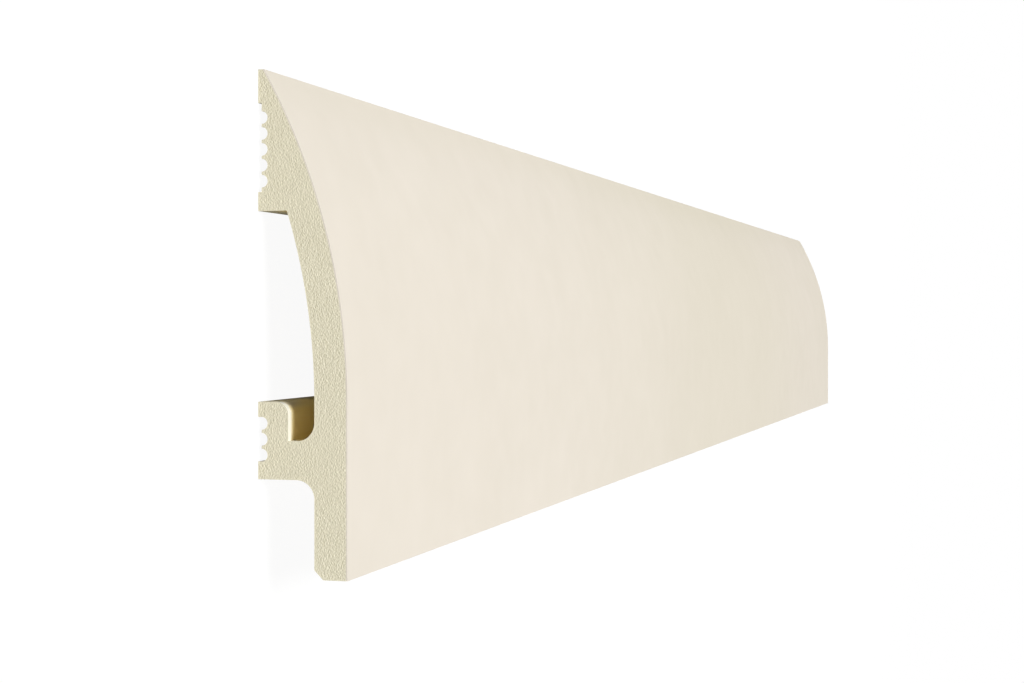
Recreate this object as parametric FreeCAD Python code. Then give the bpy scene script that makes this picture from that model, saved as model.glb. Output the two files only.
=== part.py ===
"""Skirting board length, extruded in one piece.

The board lies on its back, as it would on a bench: the wall side is down and the bowed face is up.
X runs along the length, Y up the board from the foot to the top edge, and Z from the wall to the room.
The origin is at the middle of the wall side, half way along the length and half way up the board.
All sizes are in millimetres.
"""
import FreeCAD, Part
import math
import os

# Overall sizes
LENGTH = 650.0
HEIGHT = 80.0
THICKNESS = 15.0        # wall to the front of the foot
TOP_EDGE = 1.0          # flat on the top edge, between the wall and the bowed face
WEB = 5.5               # wall of the section behind the face, the same from foot to pad

# Glue grooves, cut side by side into a shallow recess in the wall side
RECESS_DEPTH = 0.6
GROOVE_RADIUS = 1.0
GROOVE_RIDGE = 0.5      # flat ridge between two grooves

# Upper glue pad, from the top edge down
PAD_TOP_LAND = 5.3
PAD_LEAD = 1.3          # recess above the first groove
PAD_GROOVES = 5
PAD_TRAIL = 0.7         # recess below the last groove
PAD_LOWER_LAND = 3.0

# Ledge with the slot for the wall clip
LEDGE_TOP = 27.7        # above the floor; the face stands plumb up to here and bows back above it
LEDGE_TOP_LAND = 2.4
LEDGE_GROOVES = 3
LEDGE_LOWER_LAND = 2.8
SLOT_WIDTH = 4.4
SLOT_DEPTH = 6.1
SLOT_FILLET = 2.9       # between the floor of the slot and the web
LIP_ROUND = 2.0         # rounded top edge of the lip, where the clip slides in

# Foot
FOOT_FILLET = 3.0       # between the underside of the ledge and the back of the foot
FOOT_CHAMFER = 1.5

# Sizes that follow from the ones above
WEB_BACK = THICKNESS - WEB
LIP_WALL = WEB_BACK - SLOT_WIDTH
SLOT_FLOOR = LEDGE_TOP - SLOT_DEPTH
LIP_RADIUS = min(LIP_ROUND, 0.5 * LIP_WALL)
bow_depth = THICKNESS - TOP_EDGE
bow_height = HEIGHT - LEDGE_TOP
FACE_RADIUS = (bow_depth**2 + bow_height**2) / (2 * bow_depth)
BOW_CENTRE = (LEDGE_TOP, THICKNESS - FACE_RADIUS)

# Directions of an arc's radius, in degrees: up the board, out to the room, down to the floor
UP, ROOM, DOWN = 90.0, 0.0, -90.0
SHORTEST_RUN = 1e-6


class Outline:
    """A closed outline of straight runs and arcs, given by height above the floor and depth from the wall."""

    def __init__(self, height, depth):
        self.start = self.here = (height, depth)
        self.edges = []

    def place(self, point):
        height, depth = point
        return FreeCAD.Vector(-LENGTH / 2, height - HEIGHT / 2, depth)

    def line(self, height, depth):
        """A straight run to a point; none is made where the outline is already there."""
        end = (height, depth)
        if math.dist(self.here, end) > SHORTEST_RUN:
            self.edges.append(Part.LineSegment(self.place(self.here), self.place(end)).toShape())
            self.here = end

    def arc(self, centre, radius, first, last):
        """A run to the arc's first radius and then the arc, between two directions of its radius."""
        def on_arc(direction):
            angle = math.radians(direction)
            return (centre[0] + radius * math.sin(angle), centre[1] + radius * math.cos(angle))

        self.line(*on_arc(first))
        end = on_arc(last)
        middle = on_arc((first + last) / 2)
        self.edges.append(Part.Arc(*map(self.place, (self.here, middle, end))).toShape())
        self.here = end

    def face(self):
        self.line(*self.start)
        return Part.Face(Part.Wire(self.edges))


def bow_angle(height, radius):
    """Direction of the bow's radius, in degrees, where an arc about its centre reaches a height."""
    return math.degrees(math.asin((height - LEDGE_TOP) / radius))


def add_front(outline):
    """The plumb face of the foot, the bowed face above it and the flat top edge."""
    outline.arc(BOW_CENTRE, FACE_RADIUS, ROOM, bow_angle(HEIGHT, FACE_RADIUS))
    outline.line(HEIGHT, 0)


def add_grooves(outline, top, lead, count, trail):
    """A recess in the wall side with its glue grooves; returns the height of its lower end."""
    outline.line(top, 0)
    outline.line(top, RECESS_DEPTH)
    pitch = 2 * GROOVE_RADIUS + GROOVE_RIDGE
    centre = top - lead - GROOVE_RADIUS
    for number in range(count):
        outline.arc((centre - number * pitch, RECESS_DEPTH), GROOVE_RADIUS, UP, DOWN)
    bottom = outline.here[0] - trail
    outline.line(bottom, RECESS_DEPTH)
    outline.line(bottom, 0)
    return bottom


def add_pad(outline):
    """The upper glue pad: a land, the grooves, a lower land and the level underside."""
    recess_bottom = add_grooves(outline, HEIGHT - PAD_TOP_LAND, PAD_LEAD, PAD_GROOVES, PAD_TRAIL)
    underside = recess_bottom - PAD_LOWER_LAND
    outline.line(underside, 0)
    web_radius = FACE_RADIUS - WEB
    outline.arc(BOW_CENTRE, web_radius, bow_angle(underside, web_radius), ROOM)


def add_ledge(outline):
    """The clip slot, its rounded lip, the lower glue grooves and the underside of the ledge."""
    outline.arc((SLOT_FLOOR + SLOT_FILLET, WEB_BACK - SLOT_FILLET), SLOT_FILLET, ROOM, DOWN)
    outline.line(SLOT_FLOOR, LIP_WALL)
    outline.arc((LEDGE_TOP - LIP_RADIUS, LIP_WALL - LIP_RADIUS), LIP_RADIUS, ROOM, UP)
    outline.line(LEDGE_TOP, 0)
    recess_bottom = add_grooves(outline, LEDGE_TOP - LEDGE_TOP_LAND, 0, LEDGE_GROOVES, 0)
    underside = recess_bottom - LEDGE_LOWER_LAND
    outline.line(underside, 0)
    outline.arc((underside - FOOT_FILLET, WEB_BACK - FOOT_FILLET), FOOT_FILLET, UP, ROOM)


def add_foot(outline):
    """The back of the foot, with the chamfer on its lower back edge."""
    outline.line(FOOT_CHAMFER, WEB_BACK)
    outline.line(0, WEB_BACK + FOOT_CHAMFER)


def make_board():
    """The section drawn once round, from the foot's front edge, and drawn out along the length."""
    outline = Outline(0, THICKNESS)
    add_front(outline)
    add_pad(outline)
    add_ledge(outline)
    add_foot(outline)
    return outline.face().extrude(FreeCAD.Vector(LENGTH, 0, 0))


board = make_board()
os.makedirs("parts", exist_ok=True)
board.exportStep("parts/skirting_board.step")

centre = board.CenterOfMass
print("skirting_board: volume %.1f cm3, section %.1f mm2" % (board.Volume / 1000, board.Volume / LENGTH))
print("face radius %.2f, centre of mass %.2f above the foot and %.2f from the wall"
      % (FACE_RADIUS, centre.y + HEIGHT / 2, centre.z))
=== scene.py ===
# %% [markdown]
# # A length of skirting board
#
# The real object is one piece of rigid foam. It is pushed through a die while it is soft, sprayed
# with a cream primer on its room side and sawn to length. Its wall side and its sawn ends stay bare.
# This lesson loads the packed model as a fixed frame, builds one detailed mesh in its place, gives
# the mesh three finishes and lights it on a pale floor.

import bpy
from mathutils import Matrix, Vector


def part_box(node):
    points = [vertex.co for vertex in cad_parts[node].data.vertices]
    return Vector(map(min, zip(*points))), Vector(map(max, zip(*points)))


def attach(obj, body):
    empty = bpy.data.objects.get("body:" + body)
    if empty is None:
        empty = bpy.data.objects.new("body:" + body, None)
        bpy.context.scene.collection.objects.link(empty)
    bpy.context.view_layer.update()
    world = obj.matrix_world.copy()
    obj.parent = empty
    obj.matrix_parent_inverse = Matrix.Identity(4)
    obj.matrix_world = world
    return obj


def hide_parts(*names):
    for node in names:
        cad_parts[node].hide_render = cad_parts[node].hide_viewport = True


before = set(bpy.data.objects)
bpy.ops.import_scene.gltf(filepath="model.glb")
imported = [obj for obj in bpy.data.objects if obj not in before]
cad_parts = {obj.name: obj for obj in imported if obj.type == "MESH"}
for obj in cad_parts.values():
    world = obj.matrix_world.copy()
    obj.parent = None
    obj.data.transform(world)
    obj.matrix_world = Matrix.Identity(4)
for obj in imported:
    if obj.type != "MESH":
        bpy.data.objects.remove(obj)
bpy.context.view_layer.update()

# %% Other modules
import math
import random

import bmesh
import bpy
import numpy as np
from mathutils import Matrix, Vector
from mathutils.geometry import delaunay_2d_cdt

print("Blender", bpy.app.version_string)

# %% [markdown]
# ## Sizes
#
# Blender works in metres, but a section this small is easier to read in millimetres. So it is drawn
# in millimetres, and one factor turns it into metres. The length, height and thickness are measured
# on the frame, so that the board always fits it. The other sizes are the section's own. Heights are
# measured up from the foot, and depths out from the wall.

# %% Overall sizes
MM = 0.001
board_low, board_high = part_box("skirting_board")
LENGTH, HEIGHT, THICKNESS = ((high - low) / MM for low, high in zip(board_low, board_high))
print("board %.0f x %.0f x %.0f mm" % (LENGTH, HEIGHT, THICKNESS))

# %% Sizes of the section
TOP_EDGE, WEB = 1.0, 5.5
RECESS_DEPTH, GROOVE_RADIUS, GROOVE_RIDGE = 0.6, 1.0, 0.5
PAD_TOP_LAND, PAD_LEAD, PAD_GROOVES, PAD_TRAIL, PAD_LOWER_LAND = 5.3, 1.3, 5, 0.7, 3.0
LEDGE_TOP, LEDGE_TOP_LAND, LEDGE_GROOVES, LEDGE_LOWER_LAND = 27.7, 2.4, 3, 2.8
SLOT_WIDTH, SLOT_DEPTH, SLOT_FILLET, LIP_ROUND = 4.4, 6.1, 2.9, 2.0
FOOT_FILLET, FOOT_CHAMFER = 3.0, 1.5

WEB_BACK = THICKNESS - WEB
LIP_WALL = WEB_BACK - SLOT_WIDTH
SLOT_FLOOR = LEDGE_TOP - SLOT_DEPTH
bow_depth, bow_height = THICKNESS - TOP_EDGE, HEIGHT - LEDGE_TOP
FACE_RADIUS = (bow_depth**2 + bow_height**2) / (2 * bow_depth)
BOW_CENTRE = (LEDGE_TOP, THICKNESS - FACE_RADIUS)
print("face bowed to a radius of %.1f mm above the ledge" % FACE_RADIUS)

# %% [markdown]
# ## The outline of the section
#
# The die is a hole with one closed outline, and the whole board follows from it. It could be cut out
# of boxes and cylinders, but drawn once round with straight runs and arcs it stays one clean line,
# as on a draughtsman's sheet. Points are laid closely along it, so that the sawn end can carry its
# grain right up to the edge. Each point also remembers whether the primer covers it.

# %% A pen for straight runs and arcs
POINT_STEP = 0.16       # between two points of the outline, mm
SHORTEST_RUN = 1e-6
UP, ROOM, DOWN = 90.0, 0.0, -90.0       # directions of an arc's radius, degrees


class Outline:
    """A closed outline in points, each a height above the foot and a depth off the wall."""

    def __init__(self, height, depth):
        self.points = [(height, depth)]
        self.primed = [1.0]
        self.primer_on = True

    def add(self, points):
        self.points += points
        self.primed += [float(self.primer_on)] * len(points)

    def line(self, height, depth):
        """A straight run to a point, unless the outline is already there."""
        (h0, d0), length = self.points[-1], math.dist(self.points[-1], (height, depth))
        steps = max(1, round(length / POINT_STEP))
        if length > SHORTEST_RUN:
            shares = [(i + 1) / steps for i in range(steps)]
            self.add([(h0 + (height - h0) * t, d0 + (depth - d0) * t) for t in shares])

    def arc(self, centre, radius, first, last):
        """A straight run to where the arc starts, then the arc between two directions of its radius."""
        def on_arc(direction):
            angle = math.radians(direction)
            return centre[0] + radius * math.sin(angle), centre[1] + radius * math.cos(angle)

        self.line(*on_arc(first))
        steps = math.ceil(radius * math.radians(abs(last - first)) / POINT_STEP)
        self.add([on_arc(first + (last - first) * (i + 1) / steps) for i in range(steps)])


quarter = Outline(0, 10)
quarter.arc((0, 0), 10, ROOM, UP)
print("a quarter turn of 10 mm radius takes", len(quarter.points), "points")


# %% A recess with its glue grooves
def add_grooves(outline, top, lead, count, trail):
    """Draws the recess downwards from its top; returns the height of its lower end."""
    outline.line(top, 0)
    outline.line(top, RECESS_DEPTH)
    centre = top - lead - GROOVE_RADIUS
    for number in range(count):
        drop = number * (2 * GROOVE_RADIUS + GROOVE_RIDGE)
        outline.arc((centre - drop, RECESS_DEPTH), GROOVE_RADIUS, UP, DOWN)
    bottom = outline.points[-1][0] - trail
    outline.line(bottom, RECESS_DEPTH)
    outline.line(bottom, 0)
    return bottom


print("grooves every %.1f mm" % (2 * GROOVE_RADIUS + GROOVE_RIDGE))


# %% Once round the section
def bow_angle(height, radius):
    """Direction of the bow's radius where an arc about its centre reaches a height."""
    return math.degrees(math.asin((height - LEDGE_TOP) / radius))


def draw_section():
    """Up the primed face, over the top edge, and down the bare wall side to the foot."""
    outline = Outline(0, THICKNESS)
    outline.arc(BOW_CENTRE, FACE_RADIUS, ROOM, bow_angle(HEIGHT, FACE_RADIUS))
    outline.line(HEIGHT, 0)
    outline.primer_on = False
    pad_bottom = add_grooves(outline, HEIGHT - PAD_TOP_LAND, PAD_LEAD, PAD_GROOVES, PAD_TRAIL)
    pad_bottom -= PAD_LOWER_LAND
    outline.line(pad_bottom, 0)
    web_radius = FACE_RADIUS - WEB
    outline.arc(BOW_CENTRE, web_radius, bow_angle(pad_bottom, web_radius), ROOM)
    outline.arc((SLOT_FLOOR + SLOT_FILLET, WEB_BACK - SLOT_FILLET), SLOT_FILLET, ROOM, DOWN)
    outline.line(SLOT_FLOOR, LIP_WALL)
    outline.arc((LEDGE_TOP - LIP_ROUND, LIP_WALL - LIP_ROUND), LIP_ROUND, ROOM, UP)
    outline.line(LEDGE_TOP, 0)
    ledge_bottom = add_grooves(outline, LEDGE_TOP - LEDGE_TOP_LAND, 0, LEDGE_GROOVES, 0)
    ledge_bottom -= LEDGE_LOWER_LAND
    outline.line(ledge_bottom, 0)
    outline.arc((ledge_bottom - FOOT_FILLET, WEB_BACK - FOOT_FILLET), FOOT_FILLET, UP, ROOM)
    outline.line(FOOT_CHAMFER, WEB_BACK)
    outline.line(0, WEB_BACK + FOOT_CHAMFER)
    outline.line(0, THICKNESS)
    outline.points.pop()        # the last point is the first one again
    outline.primed.pop()
    return outline


outline = draw_section()
corners = np.array(outline.points)
print("outline of", len(corners), "points,", int(sum(outline.primed)), "of them primed")

# %% [markdown]
# ## The sawn end
#
# A saw opens the foam into cells a few tenths of a millimetre across. A bump in the material alone
# would leave the mesh flat, so here the end is a real surface that can be pushed in and out. Points
# are scattered over the section at the spacing of the cells. A grid would show in the light, so each
# point is moved a little at random, from a fixed seed. Two things are asked of each: is it inside
# the outline, and how far from it. A point is inside when a line straight up the board from it
# crosses the outline an odd number of times.

# %% Where a point lies in the section
BLOCK = 400     # points looked at together, so that the arrays stay small
PLUMB = 1e-12   # stands in for the depth of a run straight up, so that its slope can be worked out


def distance_to_outline(points):
    """Each point's distance to the outline, and whether it lies inside."""
    start, end = corners, np.roll(corners, -1, axis=0)
    run = end - start
    distances, inside = [], []
    for block in np.array_split(points, max(1, len(points) // BLOCK)):
        reach = block[:, None, :] - start[None]
        share = np.clip((reach * run).sum(2) / (run**2).sum(1), 0, 1)
        distances.append(np.sqrt(((reach - share[..., None] * run)**2).sum(2).min(1)))
        passes = (start[:, 1] > block[:, 1:2]) != (end[:, 1] > block[:, 1:2])
        slope = run[:, 0] / np.where(run[:, 1] == 0, PLUMB, run[:, 1])
        crossing = start[:, 0] + (block[:, 1:2] - start[:, 1]) * slope
        inside.append((passes & (block[:, 0:1] < crossing)).sum(1) % 2 == 1)
    return np.concatenate(distances), np.concatenate(inside)


mid_web = np.array([(LEDGE_TOP, THICKNESS - WEB / 2)])
depth, within = distance_to_outline(mid_web)
print("the middle of the web is %.2f mm deep, inside: %s" % (depth[0], within[0]))

# %% Scatter points over the section
CELL_STEP = 0.155       # between neighbouring points, mm
CELL_JITTER = 0.30      # share of that spacing by which each point is moved at random
EDGE_ROOM = 0.6         # share of that spacing kept free along the outline
SCATTER_SEED = 11


def scatter_inside():
    """Points on a jittered triangular grid inside the outline, with their distance to it."""
    chance = random.Random(SCATTER_SEED)
    row_step = CELL_STEP * math.sqrt(3) / 2
    low, high = corners.min(0), corners.max(0)
    shift = CELL_STEP * CELL_JITTER
    points = []
    for row in range(int((high[1] - low[1]) / row_step) + 1):
        for column in range(int((high[0] - low[0]) / CELL_STEP) + 1):
            x = low[0] + (column + 0.5 * (row % 2)) * CELL_STEP
            y = low[1] + row * row_step
            points.append((x + chance.uniform(-shift, shift), y + chance.uniform(-shift, shift)))
    points = np.array(points)
    distances, inside = distance_to_outline(points)
    keep = inside & (distances > EDGE_ROOM * CELL_STEP)
    return points[keep], distances[keep]


inner, from_edge = scatter_inside()
print(len(inner), "points inside the section")

# %% [markdown]
# ### Joining the points
#
# The points and the outline could be joined by hand, triangle by triangle, but a Delaunay
# triangulation does it with no long thin ones. The flat end that comes out stores three values on
# each point: its distance to the outline, by which the relief fades out at the edge, its distance to
# the room side, and whether the primer covers it. The bow's centre lies level with the ledge, so one
# formula gives the second for the bowed face and the plumb foot alike.

# %% The flat face of the sawn end
MERGE_DISTANCE = 1e-6


def section_mesh():
    """The section at the end with the lowest X, facing out of the board."""
    flat = [Vector(p) for p in corners] + [Vector(p) for p in inner]
    loop = [list(range(len(corners)))]
    points, _, triangles, *_ = delaunay_2d_cdt(flat, [], loop, 1, MERGE_DISTANCE)
    mesh = bpy.data.meshes.new("section")
    placed = [(board_low.x, board_low.y + h * MM, board_low.z + d * MM) for h, d in points]
    mesh.from_pydata(placed, [], triangles)
    if mesh.polygons[0].normal.x > 0:
        mesh.flip_normals()
    height, depth = np.array(points).T
    from_centre = np.hypot(np.maximum(height - BOW_CENTRE[0], 0), depth - BOW_CENTRE[1])
    stored_values = {
        "from_edge": np.concatenate([np.zeros(len(corners)), from_edge * MM]),
        "from_face": (FACE_RADIUS - from_centre) * MM,
        "primed": np.concatenate([outline.primed, np.zeros(len(inner))]),
    }
    for name, values in stored_values.items():
        mesh.attributes.new(name, "FLOAT", "POINT").data.foreach_set("value", values)
    return mesh


section = section_mesh()
print("sawn end of", len(section.polygons), "triangles")

# %% [markdown]
# ## Writing node trees as sums
#
# Both the shape and the finishes are node trees. Wires drawn one by one hide the formula that they
# stand for, so a small class lets a socket stand in an ordinary sum: `1 - mask * 0.2` adds the two
# Math nodes that it needs. Any other node comes from one method, which takes the node's type, its
# settings and what goes into its sockets.


# %% A socket that can be added and multiplied
class Value:
    """A socket's value, in a graph, that ordinary sums can use."""

    def __init__(self, graph, socket):
        self.graph, self.socket = graph, socket

    def calculate(self, operation, first, second=0.0):
        return self.graph.node("ShaderNodeMath", {"operation": operation}, {0: first, 1: second})

    def __add__(self, other):
        return self.calculate("ADD", self, other)

    def __sub__(self, other):
        return self.calculate("SUBTRACT", self, other)

    def __rsub__(self, other):
        return self.calculate("SUBTRACT", other, self)

    def __mul__(self, other):
        return self.calculate("MULTIPLY", self, other)

    def __truediv__(self, other):
        return self.calculate("DIVIDE", self, other)

    def __rtruediv__(self, other):
        return self.calculate("DIVIDE", other, self)

    def __gt__(self, other):
        return self.calculate("GREATER_THAN", self, other)

    def __abs__(self):
        return self.calculate("ABSOLUTE", self)

    def sign(self):
        return self.calculate("SIGN", self)

    __radd__, __rmul__ = __add__, __mul__


methods = [name.strip("_") for name, thing in vars(Value).items() if callable(thing)]
print("a value's methods:", ", ".join(methods))


# %% A graph that nodes are added to
class Graph:
    """A node tree, and the one way in which this script adds nodes to it."""

    def __init__(self, tree):
        self.tree = tree
        tree.nodes.clear()

    def add(self, kind, settings=None, inputs=None):
        """Makes a node, sets it up and then fills its sockets."""
        made = self.tree.nodes.new(kind)
        for name, value in (settings or {}).items():
            setattr(made, name, value)
        for name, value in (inputs or {}).items():
            self.feed(made.inputs[name], value)
        return made

    def node(self, kind, settings=None, inputs=None, out=0):
        """The same, but gives what comes out of the node."""
        return Value(self, self.add(kind, settings, inputs).outputs[out])

    def feed(self, socket, value):
        if isinstance(value, Value):
            self.tree.links.new(value.socket, socket)
        else:
            socket.default_value = value

    def smooth(self, value, low, high):
        """0 at low, 1 at high and an S curve between them."""
        settings = {"interpolation_type": "SMOOTHSTEP"}
        inputs = {"Value": value, "From Min": low, "From Max": high}
        return self.node("ShaderNodeMapRange", settings, inputs, "Result")


practice = Graph(bpy.data.node_groups.new("practice", "ShaderNodeTree"))
mask = practice.node("ShaderNodeValue")
shaded = 1 - mask * 0.2
print("a mask and 1 - mask * 0.2 are", len(practice.tree.nodes), "nodes, the last to",
      shaded.socket.node.operation)
bpy.data.node_groups.remove(practice.tree)

# %% [markdown]
# ## Tools for the finishes
#
# A screen shows a colour brighter than the number that light is worked out with. So each colour is
# written as it is seen, from 0 to 255, and turned into the linear value that a shader needs. The
# finishes read the board's own coordinates, so that a pattern keeps its real size and stays put when
# the board is moved.


# %% Colours as they are seen
def seen(red, green, blue):
    """The linear colour, with alpha, of a colour given as it looks on a screen."""
    def linear(level):
        share = level / 255
        return share / 12.92 if share <= 0.04045 else ((share + 0.055) / 1.055)**2.4

    return (linear(red), linear(green), linear(blue), 1.0)


print("a grey seen as 188 is linear %.2f" % seen(188, 188, 188)[0])


# %% A finish, and where a point of the board lies
def new_finish(name):
    """A material with its graph, its principled shader and the board's own coordinates."""
    material = bpy.data.materials.new(name)
    material.use_nodes = True
    graph = Graph(material.node_tree)
    shader = graph.add("ShaderNodeBsdfPrincipled")
    output = graph.add("ShaderNodeOutputMaterial")
    graph.tree.links.new(shader.outputs["BSDF"], output.inputs["Surface"])
    graph.feed(shader.inputs["Specular IOR Level"], 0.0)
    return material, graph, shader, graph.node("ShaderNodeTexCoord", out="Object")


def in_mm(graph, place, axis):
    """How far a point lies along one of the board's axes, in mm."""
    return graph.node("ShaderNodeSeparateXYZ", None, {"Vector": place}, axis) / MM


def moved(graph, place, operation, vector):
    """Coordinates with a vector added to them, or multiplied by it axis by axis."""
    return graph.node("ShaderNodeVectorMath", {"operation": operation}, {0: place, 1: vector}, "Vector")


def stored(graph, name):
    """A value that the mesh stores on its points."""
    return graph.node("ShaderNodeAttribute", {"attribute_name": name}, None, "Fac")


trial, trial_graph, _, trial_place = new_finish("trial")
print("a finish starts with", len(trial_graph.tree.nodes), "nodes")


# %% Noise, mixes of two colours, and bumps
def noise(graph, place, grain_mm, detail=2.0, roughness=0.5, stretch=(1, 1, 1)):
    """Noise whose patches are about grain_mm across, stretched along the board's own axes."""
    scaled = moved(graph, place, "MULTIPLY", tuple(1 / (MM * grain_mm * s) for s in stretch))
    inputs = {"Vector": scaled, "Scale": 1.0, "Detail": detail, "Roughness": roughness}
    return graph.node("ShaderNodeTexNoise", None, inputs)


def mix(graph, share, first, second):
    """A colour part of the way from the first to the second."""
    made = graph.add("ShaderNodeMix", {"data_type": "RGBA"})
    factor, a, b = made.inputs[0], made.inputs[6], made.inputs[7]
    for socket, value in ((factor, share), (a, first), (b, second)):
        graph.feed(socket, value)
    return Value(graph, made.outputs[2])


def bump(graph, height, relief_mm):
    """A normal that follows a height from 0 to 1, for a relief of relief_mm."""
    inputs = {"Height": height, "Distance": relief_mm * MM, "Strength": 1.0}
    return graph.node("ShaderNodeBump", None, inputs, "Normal")


bump(trial_graph, noise(trial_graph, trial_place, 1.0), 0.01)
print("a finish with a noise and a bump has", len(trial_graph.tree.nodes), "nodes")
bpy.data.materials.remove(trial)

# %% [markdown]
# ### Cream primer
#
# The room side leaves the factory with a thin matt primer, ready to be painted. One flat colour
# would look like plastic. The real coat is nearly even, but not quite. It has pale and dark patches
# a few centimetres wide, and a fine skin like the peel of an orange. It also gets thinner and
# thicker along the length, as the board passes the spray. Where it is thin, some of the foam's
# yellow comes through. Towards the top edge the same yellow is mixed in as painted shade, so that
# the colour there is a little darker and yellower. The patches, the peel and the change along the
# length are each a noise of its own size. The last of them is one-dimensional, so it makes bands
# right across the board. The top edge's painted shade needs no noise, only the height above the foot.

# %% Cream primer on the room side
PATCH, CLOUD, PEEL = 45, 8, 1.6         # the patches, the clouds in them and the peel, mm
PEEL_RELIEF = 0.006     # mm
DRIFT_LENGTH = 300      # mm of board for one step of the noise along the length
DRIFT_START = 64.35     # where in that noise the middle of the board lies
TOP_SHADE_START = 10           # how far below the top edge the painted shade starts, mm
SHOW_THROUGH = 0.3      # how much of the foam's colour a thin coat, or the top's painted shade, lets through


def thin_coat_and_top_shade(graph, place):
    """0 where the primer is thick, about 1 where it is thin, raised at the top edge as painted shade.
    """
    along = in_mm(graph, place, "X") / DRIFT_LENGTH + DRIFT_START
    drift = graph.node("ShaderNodeTexNoise", {"noise_dimensions": "1D"},
                       {"W": along, "Scale": 1.0, "Detail": 0.0})
    height = in_mm(graph, place, "Y") + HEIGHT / 2
    # painted shade: more of the foam's yellow towards the top edge
    top_edge_shade = graph.smooth(height, HEIGHT - TOP_SHADE_START, HEIGHT)
    return graph.smooth(drift, 0.3, 0.75) + top_edge_shade * 0.5


def cream_primer():
    """Pale and dark patches under a fine peel, with some yellow where the coat is thin, and painted
    shade at the top edge.
    """
    material, graph, shader, place = new_finish("cream_primer")
    patches = noise(graph, place, PATCH, 3.0, 0.55)
    clouds = noise(graph, place, CLOUD)
    share = graph.smooth(patches * 0.6 + clouds * 0.4, 0.2, 0.8)
    coat = mix(graph, share, seen(235, 227, 213), seen(240, 232, 219))
    # some yellow where the coat is thin, and painted shade towards the top edge
    colour = mix(graph, thin_coat_and_top_shade(graph, place) * SHOW_THROUGH, coat, seen(226, 220, 197))
    graph.feed(shader.inputs["Base Color"], colour)
    graph.feed(shader.inputs["Roughness"], 0.6 + clouds * 0.12)
    graph.feed(shader.inputs["Normal"], bump(graph, noise(graph, place, PEEL), PEEL_RELIEF))
    return material


finishes = {"Primer": cream_primer()}
print("primer of", len(finishes["Primer"].node_tree.nodes), "nodes")

# %% [markdown]
# ### Skin of the foam
#
# The wall side keeps the skin that the die gave it: smooth, a little yellow, with faint lines along
# the length. The lands, the grooves and the foot are paler, as primer dust. The clip slot and the
# back of the channel keep the full yellow as painted shade, which stands in for the dark of those
# recesses, where light that bounces between the walls makes it deeper still. At the cut, below the
# upper pad, the skin is painted almost white for a millimetre or two, a painted highlight where the
# key lamp reaches in. Behind that, a little brown is painted into the recesses as shade, and the
# lip's rounded edge is painted darker and greyer as shade.

# %% Where shade is painted on the skin: the recesses, and the lip's rounded edge
# Each pair is two distances in mm: none of the effect at the first, and all of it at the second.
RECESS_SHADE_OFF_WALL, RECESS_SHADE_ABOVE_FOOT = (1.5, 4.5), (17, 21)
LIP_SHADE_OFF_LINE, LIP_SHADE_BEHIND_CUT = (2.2, 0.7), (12, 2)
LIP_SHADE_LINE = (LEDGE_TOP + 0.5, LIP_WALL - 1)     # height and depth of the line that the lip's painted shade lies about, mm


def recess_shade(graph, place, wander):
    """0 where the skin lies open, 1 in the slot and the back of the channel, where shade is painted."""
    off_wall = in_mm(graph, place, "Z") + wander
    above_foot = in_mm(graph, place, "Y") + HEIGHT / 2 + wander
    return graph.smooth(off_wall, *RECESS_SHADE_OFF_WALL) * graph.smooth(above_foot, *RECESS_SHADE_ABOVE_FOOT)


def lip_edge_shade(graph, place, from_cut):
    """How much painted shade lies on the lip's rounded edge, from 0 to 1."""
    across = moved(graph, place, "MULTIPLY", (0, 1 / MM, 1 / MM))
    line = (0, LIP_SHADE_LINE[0] - HEIGHT / 2, LIP_SHADE_LINE[1])
    away = graph.node("ShaderNodeVectorMath", {"operation": "DISTANCE"}, {0: across, 1: line}, "Value")
    return graph.smooth(away, *LIP_SHADE_OFF_LINE) * graph.smooth(from_cut, *LIP_SHADE_BEHIND_CUT)


# the lip's edge is painted darker, as shade, within this distance of each cut
print("saw dust within %.0f mm of each cut" % max(LIP_SHADE_BEHIND_CUT))

# %% Bare foam on the wall side
CUT_SHADE_BEHIND_CUT, CUT_SHADE_SHARE = (6.0, 2.0), 0.1    # a pair as above, and the share of brown painted as shade
HIGHLIGHT_BEHIND_CUT, HIGHLIGHT_ABOVE_MIDDLE = (2.0, 0.7), (15, 5)      # pairs as above, for the painted highlight next to each cut
RECESS_SHADE_WANDER, HIGHLIGHT_WANDER = 1.5, 0.6         # how far these two borders wander, mm
STREAK, STREAK_RELIEF = 0.5, 0.01       # width and depth of the faint lines along the length, mm
STREAK_STRETCH = 120    # how many times as long as wide they are


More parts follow.
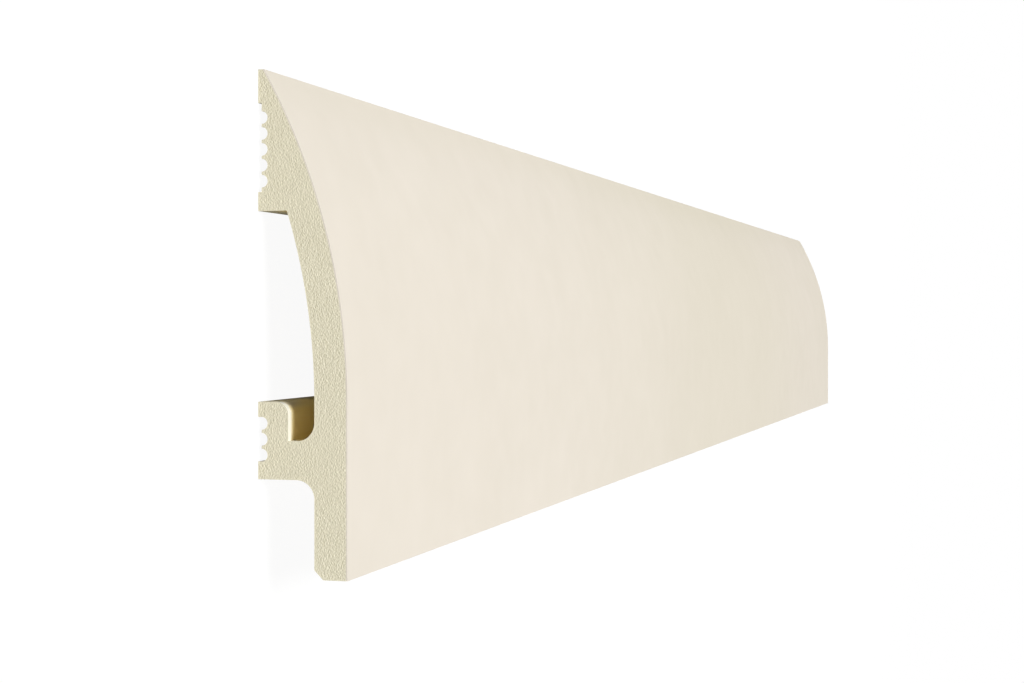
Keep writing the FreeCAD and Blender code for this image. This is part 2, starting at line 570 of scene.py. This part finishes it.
def foam_skin():
    """Yellow foam, paler where it lies open, with painted shade in the recesses and on the lip's edge,
    and a painted highlight next to each cut.
    """
    material, graph, shader, place = new_finish("foam_skin")
    streaks = noise(graph, place, STREAK, stretch=(STREAK_STRETCH, 1, 1))
    clouds = noise(graph, place, 6)
    share = graph.smooth(streaks * 0.5 + clouds * 0.5, 0.3, 0.7)
    bare = mix(graph, share, seen(249, 227, 162), seen(252, 232, 172))
    from_cut = LENGTH / 2 - abs(in_mm(graph, place, "X"))
    # painted shade: the lip's rounded edge darker and greyer near each cut
    lip_edge_shaded = mix(graph, lip_edge_shade(graph, place, from_cut), bare, seen(215, 204, 173))
    # painted shade: full yellow in the slot and the back of the channel, paler skin where it lies open
    recess_shade_mask = recess_shade(graph, place, (clouds - 0.5) * RECESS_SHADE_WANDER)
    dust_and_recess_shade = mix(graph, recess_shade_mask, seen(238, 230, 200), lip_edge_shaded)
    # painted shade: a little brown in the recesses just behind each cut
    cut_shade = graph.smooth(from_cut, *CUT_SHADE_BEHIND_CUT) * recess_shade_mask
    cut_shaded = mix(graph, cut_shade * CUT_SHADE_SHARE, dust_and_recess_shade, seen(150, 125, 80))
    # painted highlight: near-white skin within a millimetre or two of each cut, below the upper pad
    cut_highlight = graph.smooth(from_cut + (clouds - 0.5) * HIGHLIGHT_WANDER, *HIGHLIGHT_BEHIND_CUT)
    cut_highlight *= graph.smooth(in_mm(graph, place, "Y"), *HIGHLIGHT_ABOVE_MIDDLE)
    graph.feed(shader.inputs["Base Color"], mix(graph, cut_highlight, cut_shaded, seen(251, 249, 235)))
    graph.feed(shader.inputs["Roughness"], 0.62 + clouds * 0.12)
    graph.feed(shader.inputs["Normal"], bump(graph, streaks, STREAK_RELIEF))
    return material


finishes["Skin"] = foam_skin()
print("skin of", len(finishes["Skin"].node_tree.nodes), "nodes")

# %% [markdown]
# ### Sawn foam
#
# Each opened cell is painted as a pale lit side with a dark shaded side beside it, towards and away
# from the key lamp: painted light and shade of the cells' relief, over the foam's own speckle. One
# noise taken from a copy of itself, moved a fraction of a millimetre towards the lamp, gives just
# that pair. It is stretched a little up the board, the way the saw ran. Towards the outline the foam
# is denser and the grain fades, and along the room side the primer shows as a thin line.

# %% Foam at the sawn ends
CELL_SHADE_OFFSET = 0.19        # from a cell's painted lit side to its painted shaded side, mm
CELL_SHADE_SPREAD = 0.56       # the two noises differ by this where the foam is palest or darkest
RIM_START, RIM_END = 0.1, 0.35          # depths between which the grain grows to its full strength, mm
RIM_CONTRAST = 0.3      # share of the cells' painted light and shade that is left at the outline
COAT_LINE = 0.4         # depth from the room side at which the primer's line has faded out, mm
SAWN_RELIEF = 0.1       # mm


def sawn_foam():
    """Cells painted with a lit and a shaded side, and the primer's line along the room side."""
    material, graph, shader, place = new_finish("sawn_foam")
    cell = {"grain_mm": 0.135, "detail": 0.0, "stretch": (1, 2.5, 0.7)}
    beside = moved(graph, place, "ADD", (0, 0, CELL_SHADE_OFFSET * MM))
    # painted light and shade: a noise less its copy moved towards the key lamp gives each cell a lit
    # and a shaded side
    cell_light_and_shade = noise(graph, place, **cell) - noise(graph, beside, **cell)
    grown = graph.smooth(stored(graph, "from_edge"), RIM_START * MM, RIM_END * MM)
    cell_light_and_shade *= RIM_CONTRAST + grown * (1 - RIM_CONTRAST)
    clouds = noise(graph, place, 5)
    share = graph.smooth(cell_light_and_shade + (clouds - 0.5) * 0.1, -CELL_SHADE_SPREAD, CELL_SHADE_SPREAD)
    # the pale lit and dark shaded colours painted on the cells
    foam = mix(graph, share, seen(195, 188, 159), seen(251, 245, 222))
    coat_line = graph.smooth(stored(graph, "from_face"), COAT_LINE * MM, 0.0)
    graph.feed(shader.inputs["Base Color"], mix(graph, coat_line, foam, seen(226, 217, 206)))
    graph.feed(shader.inputs["Roughness"], 0.8)
    grains = noise(graph, place, 0.18, 1.0, stretch=(1, 2.0, 0.8))
    graph.feed(shader.inputs["Normal"], bump(graph, (grains - 0.5) * grown, SAWN_RELIEF))
    return material


finishes["Sawn"] = sawn_foam()
print("finishes:", [finish.name for finish in finishes.values()])

# %% [markdown]
# ## The board as a node tree
#
# The board's shape follows a rule: one section carried along a straight line. Geometry Nodes suit
# that, because the rule stays readable and its sizes are the tree's named inputs. The tree extrudes
# the open edges of the flat end a station at a time, welds a turned copy of the end to the far side,
# marks the crisp edges, and pushes the points of both ends inwards, which is the real relief of the
# opened cells.

# %% A tree and its named inputs
def new_tree(name, inputs):
    """A graph whose tree takes a geometry and the given inputs, and what they give, by name."""
    tree = bpy.data.node_groups.new(name, "GeometryNodeTree")
    graph = Graph(tree)
    tree.interface.new_socket("Geometry", in_out="OUTPUT", socket_type="NodeSocketGeometry")
    tree.interface.new_socket("Geometry", in_out="INPUT", socket_type="NodeSocketGeometry")
    kinds = {float: "NodeSocketFloat", int: "NodeSocketInt", bpy.types.Material: "NodeSocketMaterial"}
    for label, value in inputs.items():
        tree.interface.new_socket(label, in_out="INPUT", socket_type=kinds[type(value)])
    source = graph.add("NodeGroupInput")
    return graph, {socket.name: Value(graph, socket) for socket in source.outputs if socket.name}


board_inputs = {
    "Length": LENGTH * MM,
    "Stations": 10,
    "Weld": 0.002 * MM,
    "Grain": 0.40 * MM,
    "Relief": 0.024 * MM,
    "Rim": 0.25 * MM,
    "Seed": 3,
    **finishes,
}
graph, given = new_tree("drawn_board", board_inputs)
print("inputs:", list(given))

# %% [markdown]
# ### Carried along the length
#
# An edge with only one face beside it is open, and only the outline's edges are. A repeat zone
# extrudes them by one station, and the edges that come out are the open ones for the next. One long
# extrusion would do for the shape, but its triangles would be very thin.

# %% Extrude the outline a station at a time
def extrude_along(graph, given):
    """The flat end with the tube that its outline sweeps."""
    begin = graph.add("GeometryNodeRepeatInput")
    finish = graph.add("GeometryNodeRepeatOutput")
    begin.pair_with_output(finish)
    graph.feed(begin.inputs["Iterations"], given["Stations"])
    graph.feed(begin.inputs["Geometry"], given["Geometry"])
    faces = graph.node("GeometryNodeInputMeshEdgeNeighbors", out="Face Count")
    step = graph.node("ShaderNodeCombineXYZ", None, {"X": given["Length"] / given["Stations"]})
    inputs = {"Mesh": Value(graph, begin.outputs["Geometry"]), "Selection": 2 - faces > 0.5,
              "Offset": step, "Offset Scale": 1.0}
    longer = graph.node("GeometryNodeExtrudeMesh", {"mode": "EDGES"}, inputs, "Mesh")
    graph.feed(finish.inputs["Geometry"], longer)
    return Value(graph, finish.outputs["Geometry"])


tube = extrude_along(graph, given)
print("tube in %d stations of %.0f mm" % (board_inputs["Stations"], LENGTH / board_inputs["Stations"]))

# %% [markdown]
# ### Closed at the far end
#
# Both ends are the same section, so the far one is a copy, moved by the length and turned inside
# out so that it faces out of the board. Merging by distance welds its rim to the tube. Crisp edges
# are marked now, while the ends are still flat: wherever two faces meet at more than 30 degrees.

# %% Weld the far end on and mark the crisp edges
CRISP_ANGLE = math.radians(30)


def close_far_end(graph, given, tube):
    """The tube with a turned copy of the flat end welded to its far rim."""
    shift = graph.node("ShaderNodeCombineXYZ", None, {"X": given["Length"]})
    inputs = {"Geometry": given["Geometry"], "Translation": shift}
    copy = graph.node("GeometryNodeTransform", None, inputs)
    turned = graph.node("GeometryNodeFlipFaces", None, {"Mesh": copy})
    both = graph.add("GeometryNodeJoinGeometry")
    for part in (tube, turned):
        graph.feed(both.inputs["Geometry"], part)
    inputs = {"Geometry": Value(graph, both.outputs["Geometry"]), "Distance": given["Weld"]}
    return graph.node("GeometryNodeMergeByDistance", None, inputs)


def mark_crisp_edges(graph, geometry):
    """Smooth shading all over, except at the edges that turn by more than the crisp angle."""
    smooth = graph.node("GeometryNodeSetShadeSmooth", {"domain": "FACE"},
                        {"Geometry": geometry, "Shade Smooth": True})
    angle = graph.node("GeometryNodeInputMeshEdgeAngle", out="Unsigned Angle")
    inputs = {"Geometry": smooth, "Selection": angle > CRISP_ANGLE, "Shade Smooth": False}
    return graph.node("GeometryNodeSetShadeSmooth", {"domain": "EDGE"}, inputs)


closed = mark_crisp_edges(graph, close_far_end(graph, given, tube))
print("welded within %.3f mm" % (board_inputs["Weld"] / MM))

# %% [markdown]
# ### Opened cells, and the finishes
#
# The relief is a noise of the cells' size. It only ever pushes inwards, so the board keeps its
# length, and it fades out at the rim, so the outline stays true. The noise has a seed of its own.
# The tree ends by making everything real and giving each face its finish: skin all over, primer
# where the outline is primed, and sawn foam on the faces that look along the board.

# %% Push the cells in and give the finishes
ALL_PRIMED = 0.99       # a face's value is its points' mean, so all of them have to be primed
FACES_ALONG = 0.5       # a sawn face's normal has more than this along the board


def point_value(graph, name):
    """In a shape's tree, a value that the mesh stores on its points."""
    return graph.node("GeometryNodeInputNamedAttribute", {"data_type": "FLOAT"}, {"Name": name},
                      "Attribute")


def open_cells(graph, given, geometry):
    """The board with the points of its sawn ends pushed in, each by its cell's depth."""
    place = graph.node("GeometryNodeInputPosition")
    inputs = {"Vector": place, "W": given["Seed"], "Scale": 1 / given["Grain"], "Detail": 2.0,
              "Roughness": 0.6}
    cells = graph.node("ShaderNodeTexNoise", {"noise_dimensions": "4D"}, inputs)
    rim = graph.smooth(point_value(graph, "from_edge"), 0, given["Rim"])
    depth = graph.smooth(cells, 0.25, 0.75) * rim * given["Relief"]
    x = graph.node("ShaderNodeSeparateXYZ", None, {"Vector": place}, "X")
    shift = graph.node("ShaderNodeCombineXYZ", None, {"X": x.sign() * depth * -1})
    return graph.node("GeometryNodeSetPosition", None, {"Geometry": geometry, "Offset": shift})


def give_finishes(graph, given, geometry):
    """The board as real geometry, with a finish on every face."""
    whole = graph.node("GeometryNodeRealizeInstances", None, {"Geometry": geometry})
    normal = graph.node("GeometryNodeInputNormal", out="Normal")
    along = graph.node("ShaderNodeSeparateXYZ", None, {"Vector": normal}, "X")
    covers = {
        "Skin": True,
        "Primer": point_value(graph, "primed") > ALL_PRIMED,
        "Sawn": abs(along) > FACES_ALONG,
    }
    for name, where in covers.items():
        inputs = {"Geometry": whole, "Selection": where, "Material": given[name]}
        whole = graph.node("GeometryNodeSetMaterial", None, inputs)
    return whole


finished = give_finishes(graph, given, open_cells(graph, given, closed))
graph.feed(graph.add("NodeGroupOutput").inputs["Geometry"], finished)
print("tree of", len(graph.tree.nodes), "nodes")

# %% [markdown]
# ## From nodes to a plain mesh
#
# A modifier's inputs are set by the sockets' identifiers, before the object is first evaluated. The
# result is then copied out as a mesh of its own and the modifier goes. What is left is a plain mesh
# that any program can read, and it can be measured: a closed mesh has no open edges, and its volume
# has to be that of the foam.

# %% Copy the tree's result out
def plain_mesh(name, mesh, tree, inputs):
    """An object with the tree's result as its own mesh."""
    board = bpy.data.objects.new(name, mesh)
    bpy.context.scene.collection.objects.link(board)
    modifier = board.modifiers.new("shape", "NODES")
    modifier.node_group = tree
    for item in tree.interface.items_tree:
        if item.in_out == "INPUT" and item.name in inputs:
            modifier[item.identifier] = inputs[item.name]
    depsgraph = bpy.context.evaluated_depsgraph_get()
    made = bpy.data.meshes.new_from_object(board.evaluated_get(depsgraph), depsgraph=depsgraph)
    board.modifiers.clear()
    board.data = made
    made.name = name
    return board


for finish in finishes.values():
    section.materials.append(finish)
board = plain_mesh("foam_board", section, graph.tree, board_inputs)
print("board of", len(board.data.polygons), "faces")


# %% Measure the board and name what it stands for
def measure(mesh):
    """How many edges are open, the volume in cm3 and the number of triangles."""
    bm = bmesh.new()
    bm.from_mesh(mesh)
    loose = sum(not edge.is_manifold for edge in bm.edges)
    volume = bm.calc_volume(signed=True) / (10 * MM)**3
    triangles = sum(len(face.verts) - 2 for face in bm.faces)
    bm.free()
    return loose, volume, triangles


print("%d open edges, %.1f cm3, %d triangles" % measure(board.data))
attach(board, "root")
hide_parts("skirting_board")

# %% [markdown]
# ## Floor
#
# The board lies on its back on a pale floor. A floor bright enough to look white would throw light
# up into the slot and the channel. So the floor answers two kinds of ray in two ways. Rays from the
# camera, or from gloss and glass, find it white with the board's faint shadow, and further off
# plain white, with no edge to be seen. All other rays find an even grey.

# %% Pale floor
FLOOR_SIDE = 40.0       # m
FLOOR_GREY = 0.45       # what the board's own surfaces see of it
SHADOW_SHARE = 0.08     # share of what the camera sees that is lit, and so shaded, by the lamps
SHADOW_REACH = (0.6, 1.2)       # distance over which that share fades out, m
LIT_FLOOR = 0.8         # how brightly the lamps light the floor
WHITE = (1, 1, 1, 1)


def looked_at(graph):
    """1 for the camera's rays and for those that gloss and glass send on, 0 for light."""
    rays = graph.add("ShaderNodeLightPath")
    camera, gloss, glass = (Value(graph, rays.outputs["Is %s Ray" % kind])
                            for kind in ("Camera", "Glossy", "Transmission"))
    return camera + gloss + glass


def pale_floor():
    """White with a faint shadow where it is looked at, and an even grey to all other rays."""
    material = bpy.data.materials.new("pale_floor")
    material.use_nodes = True
    graph = Graph(material.node_tree)
    grey = graph.node("ShaderNodeBsdfDiffuse", None, {"Color": (FLOOR_GREY,) * 3 + (1,)})
    lit = graph.node("ShaderNodeBsdfDiffuse", None, {"Color": (SHADOW_SHARE,) * 3 + (1,)})
    strength = 1 - LIT_FLOOR * SHADOW_SHARE
    glow = graph.node("ShaderNodeEmission", None, {"Color": WHITE, "Strength": strength})
    near = graph.node("ShaderNodeAddShader", None, {0: lit, 1: glow})
    far = graph.node("ShaderNodeEmission", None, {"Color": WHITE, "Strength": 1.0})
    place = graph.node("ShaderNodeTexCoord", out="Object")
    distance = graph.node("ShaderNodeVectorMath", {"operation": "LENGTH"}, {0: place}, "Value")
    fade = graph.smooth(distance, *SHADOW_REACH)
    white = graph.node("ShaderNodeMixShader", None, {0: fade, 1: near, 2: far})
    surface = graph.node("ShaderNodeMixShader", None, {0: looked_at(graph), 1: grey, 2: white})
    graph.feed(graph.add("ShaderNodeOutputMaterial").inputs["Surface"], surface)
    return material


def make_floor():
    half = FLOOR_SIDE / 2
    mesh = bpy.data.meshes.new("floor")
    square = [(-half, -half, 0), (half, -half, 0), (half, half, 0), (-half, half, 0)]
    mesh.from_pydata(square, [], [(0, 1, 2, 3)])
    mesh.materials.append(pale_floor())
    floor = bpy.data.objects.new("floor", mesh)
    bpy.context.scene.collection.objects.link(floor)


make_floor()
print("floor %.0f m wide, shadow %.0f%% deep at most" % (FLOOR_SIDE, 100 * LIT_FLOOR * SHADOW_SHARE))

# %% [markdown]
# ## Room and lamps
#
# The room is white to look at and dim as a light, so that the lamps do the modelling. The key lamp
# hangs high over the face, a little towards the near end. It leaves the face nearly even, skims the
# sawn end, which brings out the grain, and reaches only the first two millimetres of the slot. A long
# low strip beyond the near end lights that end and shines up to the pad and down into the slot. Two
# small lamps near the floor light the far end and the foot, and barely graze the face.

# %% The room
ROOM_LIGHT = 0.17


def make_room():
    world = bpy.data.worlds.new("room")
    bpy.context.scene.world = world
    world.use_nodes = True
    graph = Graph(world.node_tree)
    dim = graph.node("ShaderNodeBackground", None, {"Color": WHITE, "Strength": ROOM_LIGHT})
    white = graph.node("ShaderNodeBackground", None, {"Color": WHITE, "Strength": 1.0})
    surface = graph.node("ShaderNodeMixShader", None, {0: looked_at(graph), 1: dim, 2: white})
    graph.feed(graph.add("ShaderNodeOutputWorld").inputs["Surface"], surface)


make_room()
print("room lights the board to %.0f%% of white" % (100 * ROOM_LIGHT))

# %% The lamps
AIM = Vector((board_low.x, 0, 0))       # the near end, on the floor


def lamp(name, towards, distance, size, level):
    """Hangs a lamp that lights a surface at the near end, facing it, to about level times white."""
    light = bpy.data.lights.new(name, "AREA")
    light.shape = "RECTANGLE"
    light.size, light.size_y = size
    light.energy = level * math.pi**2 * distance**2
    away = Vector(towards).normalized()
    hung = bpy.data.objects.new(name, light)
    hung.matrix_world = Matrix.LocRotScale(AIM + away * distance, away.to_track_quat("Z", "Y"), None)
    hung.visible_camera = False
    bpy.context.scene.collection.objects.link(hung)
    print("%-10s %.1f m away, level %.2f, %.0f W" % (name, distance, level, light.energy))


lamp("key", towards=(-0.37, 0.16, 0.90), distance=6.2, size=(2.0, 2.0), level=0.91)
lamp("near_end", towards=(-1.0, -0.2, 0.09), distance=3.0, size=(2.8, 0.2), level=0.355)
lamp("far_end", towards=(1.0, 0.0, 0.03), distance=3.0, size=(0.15, 0.15), level=0.45)
lamp("foot_side", towards=(0.1, -1.0, 0.03), distance=3.0, size=(0.15, 0.15), level=0.20)

# %% [markdown]
# ## Camera
#
# The photo was taken with the board upright, by a camera held level and turned 16 degrees from the
# board's length. The board now lies on its back, so the camera is rolled with it: its up is the
# board's up, and its right lies between the board's length and the way out from the wall. A small
# shift moves the picture and keeps the upright edges parallel, which tilting the camera would not.

# %% Camera at the photo's angle
FRAME_WIDTH, FRAME_DROP = 1024, 20.5    # the picture's frame, and how far down it is moved; pixels
LENS, SENSOR = 65.0, 36.0       # focal length and width of the sensor, mm
TURN = math.radians(16.19)
EYE = (119.5, 268.3, 40.4)      # out from the wall, before the near end, above the foot; mm


def make_camera():
    camera = bpy.data.cameras.new("camera")
    camera.lens, camera.sensor_width = LENS, SENSOR
    camera.shift_y = -FRAME_DROP / FRAME_WIDTH
    camera.clip_start, camera.clip_end = 0.01, 100.0
    out, before, above = EYE
    place = board_low + Vector((-before, above, out)) * MM
    right = Vector((math.sin(TURN), 0, math.cos(TURN)))
    up = Vector((0, 1, 0))
    turn = Matrix((right, up, right.cross(up))).transposed()
    eye = bpy.data.objects.new("camera", camera)
    eye.matrix_world = Matrix.Translation(place) @ turn.to_4x4()
    bpy.context.scene.collection.objects.link(eye)
    bpy.context.scene.camera = eye


make_camera()
bpy.context.scene.view_settings.view_transform = "Standard"
print("camera %.0f mm from the near end" % math.hypot(*EYE[:2]))

# %% [markdown]
# ## Sizes and finish
# The board that is seen has to fit the box of the model that it stands for.
